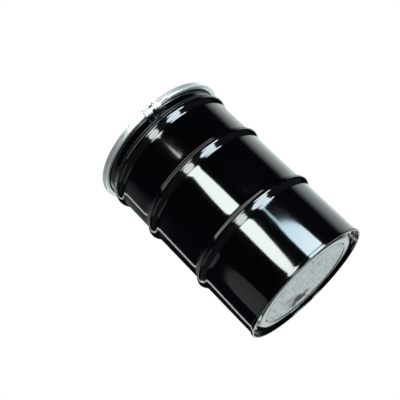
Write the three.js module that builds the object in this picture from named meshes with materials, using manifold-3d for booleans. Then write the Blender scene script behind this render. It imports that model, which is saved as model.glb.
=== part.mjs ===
// Open-head steel drum of about 208 litres, standing upright, in millimetres with +Z up.
// The origin is the centre of the circle that the bottom chime stands on.
// Every sheet-metal part is a bent centre line given its sheet thickness and turned about Z.

import * as THREE from 'three';
import { mergeVertices } from 'three/addons/utils/BufferGeometryUtils.js';
import Module from 'manifold-3d';

const wasm = await Module();
wasm.setup();

// ---- Driving dimensions -------------------------------------------------------------------

const SIDES = 36;                     // facets round the drum
const GAP = 0.3;                      // between parts that touch

const BODY = { insideR: 285.8, sheet: 1.2 };
const BODY_MID_R = BODY.insideR + BODY.sheet / 2;
const BODY_OUT_R = BODY.insideR + BODY.sheet;

const SWAGE = { height: 14.5, halfWidth: 31 };
const SWAGE_Z = [302, 596, 802];      // lower rolling hoop, upper rolling hoop, top bead

const SEAM = { hookR: 289.4, hookTop: 12, foldZ: 2.1, lipZ: 13, outerR: 290.9, baseZ: 0.6 };
const HEAD = { sheet: 1.2, wallR: 284.9, troughZ: 20.6, troughInR: 257, stepR: 243, beadZ: 7.2 };
const PANEL = { grooveR: 210, grooveZ: 10.4, rimR: 205, z: 8.8 };

const CURL = { r: 6, z: 874, endAngle: -115 };
const LID = { sheet: 1.2, wallR: 284.8, skirtR: 301.6, skirtZ: 877, topZ: 886.2 };
const LID_PANEL = { troughZ: 865, troughInR: 262, rimR: 254, z: 872 };

const RING = { sheet: 2.4, wallR: 305.8, topZ: 888.3, bottomZ: 864.4, lipR: 291, cornerR: 302 };
const SPLIT_ANGLE = -45;              // degrees round Z to the middle of the ring's split
const SPLIT_GAP = 24;                 // between the ring's two ends

const LUG = { innerR: 307.3, outerR: 329, bottomZ: 846, topZ: 887, width: 22.5, chamfer: 5 };
const LUG_FACE = 11.5;                // from the split's middle to the near face of each lug
const BOLT = { radius: 7.9, axisR: 318, axisZ: 861, headAcross: 23.8, headHeight: 10, endS: 74 };
const NUT = { across: 23.8, height: 9.2 };
const THREADED_HOLE_R = 8.2;
const PLAIN_HOLE_R = 9;

const BUNG_CIRCLE_R = 205;            // both bungs stand this far from the drum's axis
const LARGE_BUNG = {
  angle: 135, boreR: 29.6, neckR: 34.2, lipR: 36.6, baseR: 43, tailZ: 861.5, headR: 36, sides: 24,
  cup: { r: 22, floorZ: 866.5, wallR: 25.5 }, ear: { width: 12, length: 9 },
};
const SMALL_BUNG = {
  angle: -45, boreR: 13.4, neckR: 17, lipR: 19.2, baseR: 25, tailZ: 862.5, headR: 18.6, sides: 20,
  cup: { r: 9.2, floorZ: 869, wallR: 11.2 }, ear: { width: 5, length: 3.6 },
};
const BUNG_BASE = { bottomZ: 866.8, topZ: 869.6 };
const BUNG_LIP = { bottomZ: 873, topZ: 875.2, neckTopZ: 876.3 };
const PLUG_HEAD = { bottomZ: 878.6, topZ: 881.6 };

// ---- Materials ----------------------------------------------------------------------------

const finish = (color, roughness, metalness) =>
  () => new THREE.MeshStandardMaterial({ color, roughness, metalness });

const blackEnamel = finish(0x15161a, 0.2, 0.0);
const bareSteel = finish(0xb4b9b8, 0.45, 0.6);
const zincPlate = finish(0xd4d7d8, 0.3, 0.9);
const darkRubber = finish(0x24211f, 0.8, 0.0);
const seamCompound = finish(0x8d7a55, 0.7, 0.0);

// ---- Solids -------------------------------------------------------------------------------

const rad = THREE.MathUtils.degToRad;

// A closed solid for joining and cutting, from any closed three.js geometry.
function toSolid(geometry) {
  const bare = geometry.clone();
  bare.deleteAttribute('normal');
  bare.deleteAttribute('uv');
  const merged = mergeVertices(bare, 1e-4);
  return new wasm.Manifold(new wasm.Mesh({
    numProp: 3,
    vertProperties: new Float32Array(merged.attributes.position.array),
    triVerts: new Uint32Array(merged.index.array),
  }));
}

function toGeometry(solid) {
  const mesh = solid.getMesh();
  const geometry = new THREE.BufferGeometry();
  geometry.setAttribute('position', new THREE.BufferAttribute(mesh.vertProperties, 3));
  geometry.setIndex(new THREE.BufferAttribute(mesh.triVerts, 1));
  geometry.computeVertexNormals();
  return geometry;
}

// The outline, as [radius, height] pairs, turned about Z. A closed outline repeats its first point.
function turned(outline, sides = SIDES, turn = 0) {
  const points = outline.map(([r, z]) => new THREE.Vector2(r, z));
  const area = THREE.ShapeUtils.area(points);
  if (area < 0) points.reverse();
  const geometry = new THREE.LatheGeometry(points, sides, Math.PI / 2 + rad(turn));
  geometry.rotateX(Math.PI / 2);
  return toSolid(geometry);
}

const closed = (outline) => [...outline, outline[0]];

// Points round an arc in the outline's plane, angles in degrees from +radius towards +height.
function arc(r, z, radius, from, to, steps) {
  return Array.from({ length: steps + 1 }, (_, i) => {
    const a = rad(from + (to - from) * i / steps);
    return [r + radius * Math.cos(a), z + radius * Math.sin(a)];
  });
}

// The two faces of a bent sheet: its centre line set off by half the thickness on each side.
function faces(line, thickness) {
  const points = line.map(([r, z]) => new THREE.Vector2(r, z));
  const normal = (a, b) => {
    const d = b.clone().sub(a).normalize();
    return new THREE.Vector2(-d.y, d.x);
  };
  const offsets = points.map((p, i) => {
    const before = i > 0 ? normal(points[i - 1], p) : normal(p, points[i + 1]);
    const after = i < points.length - 1 ? normal(p, points[i + 1]) : before;
    const middle = before.clone().add(after).normalize();
    return middle.multiplyScalar(thickness / 2 / middle.dot(before));
  });
  const side = (sign) => points.map((p, i) => [p.x + sign * offsets[i].x, p.y + sign * offsets[i].y]);
  return [side(1), side(-1)];
}

// A closed outline for a sheet that is bent into a hoop.
function sheet(line, thickness) {
  const [left, right] = faces(line, thickness);
  return closed([...left, ...right.reverse()]);
}

// An outline for a disc of sheet: the centre line runs from the edge to the axis.
function disc(line, thickness) {
  const [left, right] = faces(line, thickness);
  return [...right.reverse(), ...left];
}

function box(x, y, z, centre) {
  return toSolid(new THREE.BoxGeometry(x, y, z).translate(...centre));
}

// A flat shape, given in the radius and height plane, pulled along the bolt's direction.
function bar(corners, length) {
  const shape = new THREE.Shape(corners.map(([r, z]) => new THREE.Vector2(r, z)));
  const geometry = new THREE.ExtrudeGeometry(shape, { depth: length, bevelEnabled: false });
  geometry.rotateX(Math.PI / 2);
  return toSolid(geometry);
}

// A prism or round bar along Y, from y = from to y = to, about the bolt's axis.
function boltBar(radius, sides, from, to) {
  const geometry = new THREE.CylinderGeometry(radius, radius, to - from, sides);
  geometry.translate(BOLT.axisR, (from + to) / 2, BOLT.axisZ);
  return toSolid(geometry);
}

// ---- Parts --------------------------------------------------------------------------------

// One rolled swell in the body wall: a raised cosine.
function swage(z) {
  const steps = [-1, -0.62, -0.24, 0.24, 0.62, 1];
  return steps.map((s) => [
    BODY_MID_R + SWAGE.height * (0.5 + 0.5 * Math.cos(Math.PI * s)),
    z + s * SWAGE.halfWidth,
  ]);
}

// The rolled body: seam hook, wall with three swells, and the top edge curled outwards.
function bodyShell() {
  return turned(sheet([
    [SEAM.hookR, SEAM.hookTop],
    [SEAM.hookR, SEAM.foldZ],
    [BODY_MID_R, SEAM.foldZ],
    ...SWAGE_Z.flatMap(swage),
    ...arc(BODY_MID_R + CURL.r, CURL.z, CURL.r, 180, CURL.endAngle, 9),
  ], BODY.sheet));
}

// The bottom: a hook round the body's edge, the recessed wall and trough, then the raised panel.
function bottomHead() {
  return turned(disc([
    [BODY_OUT_R + 0.5, SEAM.lipZ],
    [SEAM.outerR, SEAM.lipZ],
    [SEAM.outerR, SEAM.baseZ],
    [HEAD.wallR, SEAM.baseZ],
    [HEAD.wallR, HEAD.troughZ - 5],
    [HEAD.wallR - 4, HEAD.troughZ],
    [HEAD.troughInR, HEAD.troughZ],
    [HEAD.stepR + 2, HEAD.beadZ + 3],
    [HEAD.stepR - 4, HEAD.beadZ],
    [PANEL.grooveR + 6, HEAD.beadZ],
    [PANEL.grooveR, PANEL.grooveZ],
    [PANEL.rimR, PANEL.z],
    [0, PANEL.z],
  ], HEAD.sheet));
}

// The sealing compound that fills the pocket of the bottom seam.
function bottomSeamCompound() {
  const inner = BODY_OUT_R + GAP;
  const outer = SEAM.hookR - BODY.sheet / 2 - GAP;
  const low = SEAM.foldZ + BODY.sheet / 2 + GAP;
  return turned(closed([[inner, low], [outer, low], [outer, 11.8], [inner, 11.8]]));
}

function bungPlace({ angle }) {
  const a = rad(angle);
  return [BUNG_CIRCLE_R * Math.cos(a), BUNG_CIRCLE_R * Math.sin(a), 0];
}

// The lid: a channel over the body's curl, a recessed trough, and a raised panel with two holes.
function cover() {
  let solid = turned(disc([
    [LID.skirtR, LID.skirtZ],
    [LID.skirtR, LID.topZ - 2.5],
    [LID.skirtR - 2.5, LID.topZ],
    [LID.wallR + 2.5, LID.topZ],
    [LID.wallR, LID.topZ - 2.5],
    [LID.wallR, LID_PANEL.troughZ + 4],
    [LID.wallR - 4, LID_PANEL.troughZ],
    [LID_PANEL.troughInR, LID_PANEL.troughZ],
    [LID_PANEL.rimR, LID_PANEL.z],
    [0, LID_PANEL.z],
  ], LID.sheet));
  for (const bung of [LARGE_BUNG, SMALL_BUNG]) {
    const r = bung.neckR + GAP;
    const hole = closed([[0, 850], [r, 850], [r, 890], [0, 890]]).slice(0, -1);
    solid = solid.subtract(turned(hole, bung.sides).translate(bungPlace(bung)));
  }
  return solid;
}

// The gasket in the lid's channel, pressed on the body's curl.
function coverGasket() {
  const low = CURL.z + CURL.r + BODY.sheet / 2 + GAP;
  const high = LID.topZ - LID.sheet / 2 - GAP;
  return turned(closed([
    [288.4, low], [296.4, low], [298.2, (low + high) / 2], [296.4, high],
    [288.4, high], [287.2, (low + high) / 2],
  ]));
}

// The split closing ring, a C-section with its ends apart at the split.
function closingRing() {
  const hoop = turned(sheet([
    [RING.lipR, RING.topZ],
    [RING.cornerR, RING.topZ],
    [RING.wallR, RING.topZ - 3.8],
    [RING.wallR, RING.bottomZ + 3.8],
    [RING.cornerR, RING.bottomZ + 0.4],
    [RING.lipR, RING.bottomZ],
  ], RING.sheet));
  const split = box(60, SPLIT_GAP, 60, [RING.wallR - 5, 0, RING.topZ - 12]);
  return hoop.subtract(split.rotate([0, 0, SPLIT_ANGLE]));
}

// A lug, drawn at the +X side with the bolt along Y; side is 1 or -1 for its side of the split.
function lug(side, holeR) {
  const { innerR, outerR, bottomZ, topZ, width, chamfer } = LUG;
  const corners = [
    [innerR, bottomZ + chamfer], [innerR + chamfer, bottomZ], [outerR - chamfer, bottomZ],
    [outerR, bottomZ + chamfer], [outerR, topZ - 3 * chamfer], [innerR + 8, topZ], [innerR, topZ],
  ];
  const far = side > 0 ? LUG_FACE + width : -LUG_FACE;
  const block = bar(corners, width).translate([0, far, 0]);
  return block.subtract(boltBar(holeR, 16, -60, 60));
}

// The closing bolt: hex head outside the plain lug, shank through both lugs.
function ringBolt() {
  const headFace = -LUG_FACE - LUG.width - GAP;
  const head = boltBar(BOLT.headAcross / Math.sqrt(3), 6, headFace - BOLT.headHeight, headFace);
  return head.add(boltBar(BOLT.radius, 16, headFace - 1, BOLT.endS));
}

// The lock nut, against the threaded lug.
function lockNut() {
  const face = LUG_FACE - GAP;
  const hex = boltBar(NUT.across / Math.sqrt(3), 6, face - NUT.height, face);
  return hex.subtract(boltBar(THREADED_HOLE_R, 16, face - NUT.height - 1, face + 1));
}

// A bung flange: a threaded neck clenched over the lid, on an eight-sided base under it.
function bungFlange({ boreR, neckR, lipR, baseR, tailZ, sides }) {
  const neck = turned(closed([
    [boreR, tailZ], [neckR - 1, tailZ], [neckR, BUNG_BASE.topZ], [neckR, BUNG_LIP.bottomZ],
    [lipR, BUNG_LIP.bottomZ], [lipR, BUNG_LIP.topZ], [neckR, BUNG_LIP.neckTopZ],
    [boreR, BUNG_LIP.neckTopZ],
  ]), sides);
  const { bottomZ, topZ } = BUNG_BASE;
  const inner = neckR - 2;
  const base = turned(closed([[inner, bottomZ], [baseR, bottomZ], [baseR, topZ], [inner, topZ]]), 8);
  return neck.add(base);
}

function bungFlangeGasket({ neckR, baseR, sides }) {
  const inner = neckR + GAP;
  const outer = baseR - 4;
  const low = BUNG_BASE.topZ + GAP;
  const high = LID_PANEL.z - LID.sheet / 2 - GAP;
  return turned(closed([[inner, low], [outer, low], [outer, high], [inner, high]]), sides);
}

// A plug: a threaded cup with a rim on top, and two ears in the cup for the bung wrench.
function bungPlug({ boreR, headR, tailZ, cup, ear, sides }) {
  const threadR = boreR - GAP;
  const floorZ = cup.floorZ;
  const shell = turned([
    [0, floorZ - 2.4], [cup.wallR - 1, floorZ - 2.4], [threadR, tailZ + 4],
    [threadR, PLUG_HEAD.bottomZ], [headR, PLUG_HEAD.bottomZ], [headR, PLUG_HEAD.topZ - 1],
    [headR - 1, PLUG_HEAD.topZ], [cup.r, PLUG_HEAD.topZ], [cup.r, floorZ], [0, floorZ],
  ], sides);
  const earTop = PLUG_HEAD.topZ - 3;
  const ears = [1, -1].map((side) => box(
    ear.length, ear.width, earTop - floorZ + 1,
    [side * (cup.r - ear.length / 2 + 1), 0, (earTop + floorZ - 1) / 2],
  ));
  return shell.add(ears[0]).add(ears[1]);
}

function bungPlugGasket({ boreR, lipR, sides }) {
  const low = BUNG_LIP.neckTopZ + GAP;
  const high = PLUG_HEAD.bottomZ - GAP;
  const outer = lipR - 2;
  return turned(closed([[boreR, low], [outer, low], [outer, high], [boreR, high]]), sides);
}

// ---- Assembly -----------------------------------------------------------------------------

function part(name, solid, material, place = [0, 0, 0]) {
  const mesh = new THREE.Mesh(toGeometry(solid), material());
  mesh.name = name;
  mesh.position.set(...place);
  return mesh;
}

const drum = new THREE.Group();

drum.add(
  part('body_shell', bodyShell(), blackEnamel),
  part('bottom_head', bottomHead(), bareSteel),
  part('bottom_seam_compound', bottomSeamCompound(), seamCompound),
  part('cover', cover(), blackEnamel),
  part('cover_gasket', coverGasket(), darkRubber),
  part('closing_ring', closingRing(), zincPlate),
);

const closure = new THREE.Group();
closure.rotation.z = rad(SPLIT_ANGLE);
closure.add(
  part('plain_lug', lug(-1, PLAIN_HOLE_R), zincPlate),
  part('threaded_lug', lug(1, THREADED_HOLE_R), zincPlate),
  part('ring_bolt', ringBolt(), zincPlate),
  part('lock_nut', lockNut(), zincPlate),
);
drum.add(closure);

for (const [size, bung] of [['large', LARGE_BUNG], ['small', SMALL_BUNG]]) {
  const place = bungPlace(bung);
  drum.add(
    part(`${size}_bung_flange`, bungFlange(bung), zincPlate, place),
    part(`${size}_flange_gasket`, bungFlangeGasket(bung), darkRubber, place),
    part(`${size}_bung_plug`, bungPlug(bung), zincPlate, place),
    part(`${size}_plug_gasket`, bungPlugGasket(bung), darkRubber, place),
  );
}

export default drum;
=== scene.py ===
"""Open-head steel drum: sheet-metal body, lid, closing ring and bungs, with their finishes.

Lengths are in metres and +Z is up. The drum stands on its bottom chime at the origin.
"""

import math

import bmesh
import bpy
from mathutils import Matrix, Vector


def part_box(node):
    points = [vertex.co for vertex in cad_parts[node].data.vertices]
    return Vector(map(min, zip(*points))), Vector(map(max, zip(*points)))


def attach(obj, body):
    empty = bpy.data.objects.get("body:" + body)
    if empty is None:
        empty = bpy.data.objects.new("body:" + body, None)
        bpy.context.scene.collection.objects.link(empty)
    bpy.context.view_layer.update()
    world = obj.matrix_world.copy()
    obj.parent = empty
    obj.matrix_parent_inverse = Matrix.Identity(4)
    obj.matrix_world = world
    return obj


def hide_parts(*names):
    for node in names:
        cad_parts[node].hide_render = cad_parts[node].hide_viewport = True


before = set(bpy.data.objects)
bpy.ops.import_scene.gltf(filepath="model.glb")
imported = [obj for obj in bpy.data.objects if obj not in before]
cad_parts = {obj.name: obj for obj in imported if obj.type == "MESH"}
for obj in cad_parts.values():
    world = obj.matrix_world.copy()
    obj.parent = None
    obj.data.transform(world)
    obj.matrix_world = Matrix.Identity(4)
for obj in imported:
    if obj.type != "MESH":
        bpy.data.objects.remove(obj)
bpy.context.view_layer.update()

bl_info = {
    "name": "Open-head steel drum",
    "version": (1, 0, 0),
    "blender": (4, 5, 0),
    "location": "3D View > Sidebar > Drum",
    "description": "Builds an open-head steel drum with its lid, bolted closing ring and bungs",
    "category": "Add Mesh",
}

MM = 0.001
SEGMENTS = 240  # round the drum
SHARP_ANGLE = math.radians(38)
TINY = 1e-6

CHIME_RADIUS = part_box("bottom_head")[1].x
TOP_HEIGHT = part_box("closing_ring")[1].z


def middle(node):
    """The centre of a CAD node's box."""
    low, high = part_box(node)
    return (low + high) / 2


SPLIT_POINT = (middle("plain_lug") + middle("threaded_lug")) / 2
SPLIT_AZIMUTH = math.atan2(SPLIT_POINT.y, SPLIT_POINT.x)
BOLT_PITCH = 2.3091 * MM
LARGE_PITCH = 2.2087 * MM
SMALL_PITCH = 1.8143 * MM


# ---- Sizes and colours a user would change ---------------------------------------------------


def length(name, description, default):
    return bpy.props.FloatProperty(
        name=name, description=description, default=default, min=0, precision=5, unit="LENGTH"
    )


def colour(name, description, default):
    return bpy.props.FloatVectorProperty(
        name=name, description=description, default=default, size=4, min=0, max=1, subtype="COLOR"
    )


class DrumSizes(bpy.types.PropertyGroup):
    """Sizes of the drum's sheet metal."""

    body_radius: length("Body radius", "Middle of the body's sheet, between the hoops", 0.2864)
    sheet: length("Sheet", "Thickness of the body, bottom and lid", 0.0012)
    ring_sheet: length("Ring sheet", "Thickness of the closing ring", 0.0024)
    hoop_height: length("Hoop height", "How far a rolled hoop stands out of the body", 0.0145)
    hoop_half: length("Hoop half-width", "From a hoop's crest to where the wall is straight", 0.031)
    lower_hoop: length("Lower hoop", "Height of the lower rolling hoop's crest", 0.302)
    upper_hoop: length("Upper hoop", "Height of the upper rolling hoop's crest", 0.596)
    top_bead: length("Top bead", "Height of the bead under the closing ring", 0.802)
    chime_radius: length("Chime radius", "Outside of the bottom chime", CHIME_RADIUS)
    wander: length("Sheet wander", "How far the rolled sheet strays from true", 0.00022)


class DrumColours(bpy.types.PropertyGroup):
    """Colours of the drum's finishes."""

    enamel: colour("Enamel", "Gloss enamel on the body, chime and lid", (0.0008, 0.0010, 0.0018, 1))
    # Light grey of the bottom's panel: bare steel, and partly a painted reflection of the pale
    # surroundings.
    bare_steel: colour("Bare steel", "Unpainted panel of the bottom", (0.41, 0.42, 0.415, 1))
    lining: colour("Inside", "Oiled steel inside the body", (0.36, 0.36, 0.34, 1))
    zinc: colour("Zinc plate", "Closing ring, lugs, bolt and bungs", (0.84, 0.885, 0.88, 1))
    rubber: colour("Rubber", "Gaskets", (0.018, 0.016, 0.015, 1))
    compound: colour("Seam compound", "Filling of the bottom seam", (0.30, 0.24, 0.14, 1))
    floor: colour("Floor", "Pale studio floor", (0.84, 0.84, 0.835, 1))


# ---- Node building ---------------------------------------------------------------------------


class Value:
    """A number or vector that varies over a surface: one node socket with arithmetic on it."""

    def __init__(self, tree, socket):
        self.tree = tree
        self.socket = socket

    def math(self, operation, *values):
        return self.tree.node("ShaderNodeMath", {"operation": operation}, dict(enumerate(values)))

    def __add__(self, other):
        return self.math("ADD", self, other)

    __radd__ = __add__

    def __sub__(self, other):
        return self.math("SUBTRACT", self, other)

    def __rsub__(self, other):
        return self.math("SUBTRACT", other, self)

    def __mul__(self, other):
        return self.math("MULTIPLY", self, other)

    __rmul__ = __mul__

    def __truediv__(self, other):
        return self.math("DIVIDE", self, other)

    def __pow__(self, other):
        return self.math("POWER", self, other)

    def most(self, other):
        return self.math("MAXIMUM", self, other)

    def step(self, low, high):
        """0 below low, 1 above high and smooth between; the other way round if low is above high."""
        flip = low > high
        inputs = {0: self, 1: min(low, high), 2: max(low, high), 3: float(flip), 4: float(not flip)}
        return self.tree.node("ShaderNodeMapRange", {"interpolation_type": "SMOOTHSTEP"}, inputs)


class Tree:
    """A node tree of a material or world, built through one method."""

    def __init__(self, owner):
        owner.use_nodes = True
        self.owner = owner
        self.nodes = owner.node_tree.nodes
        self.links = owner.node_tree.links
        self.nodes.clear()

    def node(self, kind, settings=None, inputs=None, output=0):
        """Adds a node: its settings first, then each socket's value or link. Gives one output."""
        made = self.nodes.new(kind)
        for key, setting in (settings or {}).items():
            setattr(made, key, setting)
        for key, given in (inputs or {}).items():
            socket = made.inputs[key]
            if isinstance(given, Value):
                self.links.new(given.socket, socket)
            else:
                socket.default_value = given
        return Value(self, made.outputs[output]) if made.outputs else made

    def place(self):
        """The point's place in the drum's own frame."""
        return self.node("ShaderNodeTexCoord", output="Object")

    def parts(self, vector):
        return [self.node("ShaderNodeSeparateXYZ", inputs={0: vector}, output=i) for i in range(3)]

    def turned(self, vector, angle):
        """The vector turned about Z."""
        inputs = {"Vector": vector, "Axis": (0, 0, 1), "Angle": angle}
        return self.node("ShaderNodeVectorRotate", inputs=inputs)

    def scaled(self, vector, factors):
        return self.node("ShaderNodeVectorMath", {"operation": "MULTIPLY"}, {0: vector, 1: factors})

    def noise(self, vector, scale, detail=3.0, rough=0.5):
        inputs = {"Vector": vector, "Scale": scale, "Detail": detail, "Roughness": rough}
        return self.node("ShaderNodeTexNoise", inputs=inputs)

    def mix(self, factor, first, second):
        """first where factor is 0, second where it is 1."""
        settings = {"data_type": "RGBA"}
        return self.node("ShaderNodeMix", settings, {0: factor, 6: first, 7: second}, output=2)

    def bump(self, height, strength, distance, under=None):
        inputs = {"Height": height, "Strength": strength, "Distance": distance}
        if under:
            inputs["Normal"] = under
        return self.node("ShaderNodeBump", inputs=inputs)

    def polar(self):
        """The place as a point whose X runs round the drum, Y outwards and Z upwards, and its radius."""
        x, y, z = self.parts(self.place())
        radius = (x * x + y * y) ** 0.5
        turn = y.math("ARCTAN2", y, x)
        return self.node("ShaderNodeCombineXYZ", inputs={0: turn, 1: radius, 2: z}), radius

    def shown(self, **inputs):
        """Ends a material in one Principled surface."""
        named = {key.replace("_", " ").title(): given for key, given in inputs.items()}
        named = {("IOR" if key == "Ior" else key): given for key, given in named.items()}
        shader = self.node("ShaderNodeBsdfPrincipled", inputs=named)
        self.node("ShaderNodeOutputMaterial", inputs={"Surface": shader})
        return self.owner


def fresh(name):
    """An empty material of this name."""
    return Tree(bpy.data.materials.new(name))


# Shades that wear, stains and unevenness mix into the finishes' own colours.
RUBBED_ENAMEL = (0.03, 0.032, 0.034, 1)
DUST = (0.2, 0.2, 0.19, 1)
OIL_STAIN = (0.30, 0.27, 0.21, 1)
DRAWN_STEEL = (0.55, 0.56, 0.56, 1)
CLOUDED_STEEL = (0.33, 0.345, 0.345, 1)
STREAK = (0.11, 0.115, 0.12, 1)
CROSS_STREAK = (0.12, 0.125, 0.13, 1)
SMEAR = (0.07, 0.072, 0.075, 1)
SMUDGE = (0.015, 0.015, 0.016, 1)
CLOUDED_ZINC = (0.62, 0.67, 0.68, 1)
ZINC_STAIN = (0.42, 0.43, 0.42, 1)
RUBBER_BLOOM = (0.06, 0.058, 0.055, 1)
DARK_COMPOUND = (0.2, 0.16, 0.1, 1)
SCUFFED_FLOOR = (0.74, 0.74, 0.74, 1)

ENAMEL_IOR = 1.5
ZINC_IOR = 1.15  # low, so the plating reads as pale and even

# The bottom's bare steel panel, whose light grey is partly a painted reflection of the pale surroundings.
PANEL_EDGE = (208.5 * MM, 206 * MM)  # enamel outside the first radius, inside the second the light grey panel of bare steel and painted reflection
DRAG_ANGLE = math.radians(-124)  # the way the streaks run
SMUDGE_PLACE = (-112 * MM, 66 * MM)
SMUDGE_EDGE = (66 * MM, 22 * MM)
SMEAR_PLACE = (-88 * MM, -10 * MM)
SMEAR_EDGE = (90 * MM, 20 * MM)
SMEAR_WIDTH = 0.4  # of its length


def hoop_crest(sizes):
    """Outside radius of the rolling hoops."""
    return sizes.body_radius + sizes.sheet / 2 + sizes.hoop_height


def enamel_paint(tree, colours, hoops):
    """Colour, roughness and normal of the gloss enamel, with light rubbing on the hoops' crests."""
    polar, radius = tree.polar()
    place = tree.place()
    film = tree.noise(place, 9.0, 2.0)
    dust = tree.noise(place, 120.0, 4.0, 0.6).step(0.55, 0.8)
    rub_grain = tree.noise(tree.scaled(polar, (9.0, 40.0, 260.0)), 3.0, 5.0, 0.65).step(0.52, 0.75)
    rub = rub_grain * radius.step(hoops - 1.6 * MM, hoops - 0.2 * MM) * 0.5
    shade = tree.mix(rub, tuple(colours.enamel), RUBBED_ENAMEL)
    shade = tree.mix(dust * 0.004, shade, DUST)
    rough = 0.055 + film * 0.045 + dust * 0.03 + rub * 0.3
    slow = tree.bump(tree.noise(place, 7.0, 1.0), 0.12, 0.0012)
    peel = tree.bump(tree.noise(place, 420.0, 2.0), 0.025, 0.0004, slow)
    return shade, rough, peel


def gloss_enamel(colours, sizes):
    """Black gloss enamel on the body and lid."""
    tree = fresh("gloss_enamel")
    shade, rough, peel = enamel_paint(tree, colours, hoop_crest(sizes))
    return tree.shown(base_color=shade, roughness=rough, normal=peel, ior=ENAMEL_IOR)


def inside_steel(colours):
    """Cold-rolled steel under a thin film of rust preventive, on the inside of the body and lid."""
    tree = fresh("inside_steel")
    polar, _ = tree.polar()
    film = tree.noise(tree.place(), 5.0, 5.0, 0.6)
    draw = tree.noise(tree.scaled(polar, (2.0, 2.0, 90.0)), 5.0, 4.0, 0.6)
    tint = tree.mix(film.step(0.4, 0.7) * 0.5, tuple(colours.lining), OIL_STAIN)
    tint = tree.mix(draw.step(0.35, 0.8) * 0.25, tint, DRAWN_STEEL)
    rough = 0.32 + film * 0.16
    marks = tree.bump(draw, 0.08, 0.0004)
    return tree.shown(base_color=tint, roughness=rough, metallic=0.85, normal=marks)


def bottom_finish(colours, sizes):
    """The bottom: enamel on the chime, trough and step, and inside them a smudged steel panel whose light
    grey is partly a painted reflection of the pale surroundings.
    """
    tree = fresh("bottom_finish")
    shade, rough, peel = enamel_paint(tree, colours, hoop_crest(sizes))
    place = tree.place()
    x, y, _ = tree.parts(place)
    radius = (x * x + y * y) ** 0.5
    edge = tree.noise(place, 60.0, 3.0)
    panel = (radius + (edge - 0.5) * 3 * MM).step(*PANEL_EDGE)
    cloud = tree.noise(place, 11.0, 6.0, 0.62)
    dragged = tree.turned(place, DRAG_ANGLE)
    streaks = tree.noise(tree.scaled(dragged, (7.0, 130.0, 1.0)), 1.0, 4.0, 0.6)
    crossed = tree.noise(tree.scaled(dragged, (55.0, 14.0, 1.0)), 1.0, 5.0, 0.65)
    grime = tree.noise(place, 30.0, 6.0, 0.7)
    away = ((x - SMUDGE_PLACE[0]) ** 2.0 + (y - SMUDGE_PLACE[1]) ** 2.0) ** 0.5
    smudge = (away + (grime - 0.5) * 170 * MM).step(*SMUDGE_EDGE)
    trail = (((x - SMEAR_PLACE[0]) / SMEAR_WIDTH) ** 2.0 + (y - SMEAR_PLACE[1]) ** 2.0) ** 0.5
    smear = (trail + (grime - 0.5) * 150 * MM).step(*SMEAR_EDGE)
    # The panel's light grey is bare steel and partly a painted reflection of the pale surroundings.
    metal = tree.mix(cloud.step(0.35, 0.7) * 0.5, tuple(colours.bare_steel), CLOUDED_STEEL)
    metal = tree.mix(streaks.step(0.5, 0.68) * 0.75, metal, STREAK)
    metal = tree.mix(crossed.step(0.52, 0.7) * 0.6, metal, CROSS_STREAK)
    metal = tree.mix(smear * 0.55, metal, SMEAR)
    metal = tree.mix(smudge * 0.95, metal, SMUDGE)
    wear = tree.bump(cloud * 0.6 + streaks * 0.25 + crossed * 0.15, 0.25, 0.0006, peel)
    return tree.shown(
        base_color=tree.mix(panel, shade, metal),
        roughness=rough * (1 - panel) + (0.40 + cloud * 0.16 + smudge * 0.4) * panel,
        metallic=panel * (0.55 + smudge * 0.35),
        normal=wear,
        ior=ENAMEL_IOR,
    )


def zinc_plate(colours):
    """Bright zinc plating: fine grain, faint clouding and small stains."""
    tree = fresh("zinc_plate")
    place = tree.place()
    grain = tree.noise(place, 900.0, 3.0, 0.6)
    cloud = tree.noise(place, 38.0, 5.0, 0.6)
    stain = tree.noise(place, 120.0, 5.0, 0.65).step(0.62, 0.8)
    shade = tree.mix(cloud.step(0.4, 0.75) * 0.22, tuple(colours.zinc), CLOUDED_ZINC)
    shade = tree.mix(stain * 0.25, shade, ZINC_STAIN)
    rough = 0.36 + cloud * 0.12 + stain * 0.1
    fine = tree.bump(grain, 0.06, 0.0003)
    return tree.shown(base_color=shade, roughness=rough, normal=fine, ior=ZINC_IOR)


def gasket_rubber(colours):
    """Matt moulded rubber with a light bloom."""
    tree = fresh("gasket_rubber")
    place = tree.place()
    bloom = tree.noise(place, 70.0, 4.0, 0.6)
    shade = tree.mix(bloom.step(0.5, 0.8) * 0.4, tuple(colours.rubber), RUBBER_BLOOM)
    skin = tree.bump(tree.noise(place, 1400.0, 2.0), 0.1, 0.0002)
    return tree.shown(base_color=shade, roughness=0.62 + bloom * 0.2, normal=skin)


def seam_filler(colours):
    """Dried sealing compound of the bottom seam."""
    tree = fresh("seam_filler")
    place = tree.place()
    lumps = tree.noise(place, 300.0, 4.0, 0.6)
    shade = tree.mix(lumps.step(0.4, 0.8) * 0.4, tuple(colours.compound), DARK_COMPOUND)
    skin = tree.bump(lumps, 0.3, 0.0005)
    return tree.shown(base_color=shade, roughness=0.6 + lumps * 0.2, normal=skin)


# ---- Outlines --------------------------------------------------------------------------------


def rounded(corners, steps=6):
    """A line through (radius, height, bend) corners, each turned into an arc of its bend radius."""
    points = []
    spots = [Vector(c[:2]) for c in corners]
    for i, corner in enumerate(corners):
        here, bend = spots[i], corner[2]
        if i in (0, len(corners) - 1) or not bend:
            points.append(here)
            continue
        back, on = spots[i - 1] - here, spots[i + 1] - here
        half = back.angle(on) / 2
        reach = min(bend / math.tan(half), 0.49 * back.length, 0.49 * on.length)
        radius = reach * math.tan(half)
        centre = here + (back.normalized() + on.normalized()).normalized() * radius / math.sin(half)
        first = here + back.normalized() * reach - centre
        last = here + on.normalized() * reach - centre
        start = math.atan2(first.y, first.x)
        sweep = math.remainder(math.atan2(last.y, last.x) - start, 2 * math.pi)
        for k in range(steps + 1):
            a = start + sweep * k / steps
            points.append(centre + radius * Vector((math.cos(a), math.sin(a))))
    return points


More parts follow.
